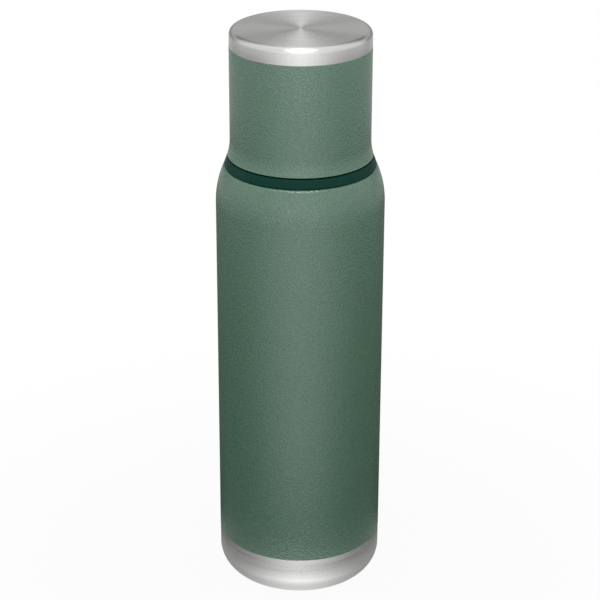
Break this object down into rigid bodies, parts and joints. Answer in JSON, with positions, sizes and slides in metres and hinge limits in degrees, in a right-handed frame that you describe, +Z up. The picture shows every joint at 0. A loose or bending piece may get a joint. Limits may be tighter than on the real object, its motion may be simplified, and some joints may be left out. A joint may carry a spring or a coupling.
{
  "type": "vacuum flask",
  "caption": "Double-walled steel vacuum flask with a bare steel base, a dark neck collar, a screw-in pour stopper and an insulated screw-on cup that closes over it.",
  "frame": {"origin": "middle of the base, on the surface that the flask stands on", "axes": "+Z up along the flask's axis, +X through the pour channels of the stopper"},
  "size_m": [0.09, 0.09, 0.3157],
  "materials": {
    "green_coat": "hammer-textured powder coat, satin",
    "brushed_steel": "brushed round the axis",
    "disc_steel": "spun",
    "vessel_steel": "electropolished",
    "braze": "matte",
    "copper_foil": "bright foil",
    "getter_metal": "sintered",
    "spring_steel": "plain",
    "dark_green_plastic": "satin",
    "silicone": "matte",
    "foam": "expanded foam"
  },
  "bodies": {
    "flask": {"outer_shell": "green_coat", "base_cup": "brushed_steel", "base_disc": "disc_steel", "seal_bead": "braze", "inner_vessel": "vessel_steel", "inner_bottom": "vessel_steel", "heat_shield": "copper_foil", "getter": "getter_metal", "getter_clip": "spring_steel", "neck_collar": "dark_green_plastic", "collar_gasket": "silicone"},
    "stopper_ring": {"stopper_seal": "silicone"},
    "stopper": {"stopper_body": "dark_green_plastic", "stopper_cap": "dark_green_plastic", "stopper_core": "foam", "stopper_retainer": "dark_green_plastic"},
    "cup_ring": {"cup_seal": "silicone"},
    "cup": {"cup_shell": "green_coat", "cup_foot": "brushed_steel", "cup_liner": "vessel_steel"}
  },
  "joints": [
    {"name": "cup_rise", "type": "slide", "parent": "flask", "child": "cup_ring", "axis": [0, 0, 1], "range_m": [0, 0.081]},
    {"name": "cup_turn", "type": "hinge", "parent": "cup_ring", "child": "cup", "pos_m": [0, 0, 0.253], "axis": [0, 0, 1], "range_deg": [0, 1620]},
    {"name": "stopper_rise", "type": "slide", "parent": "flask", "child": "stopper_ring", "axis": [0, 0, 1], "range_m": [0, 0.02975]},
    {"name": "stopper_turn", "type": "hinge", "parent": "stopper_ring", "child": "stopper", "pos_m": [0, 0, 0.25], "axis": [0, 0, 1], "range_deg": [0, 1260]}
  ],
  "couplings": [
    {"joint": "cup_rise", "follows": "cup_turn", "m_per_rad": 0.0028648},
    {"joint": "stopper_rise", "follows": "stopper_turn", "m_per_rad": 0.0013528}
  ]
}
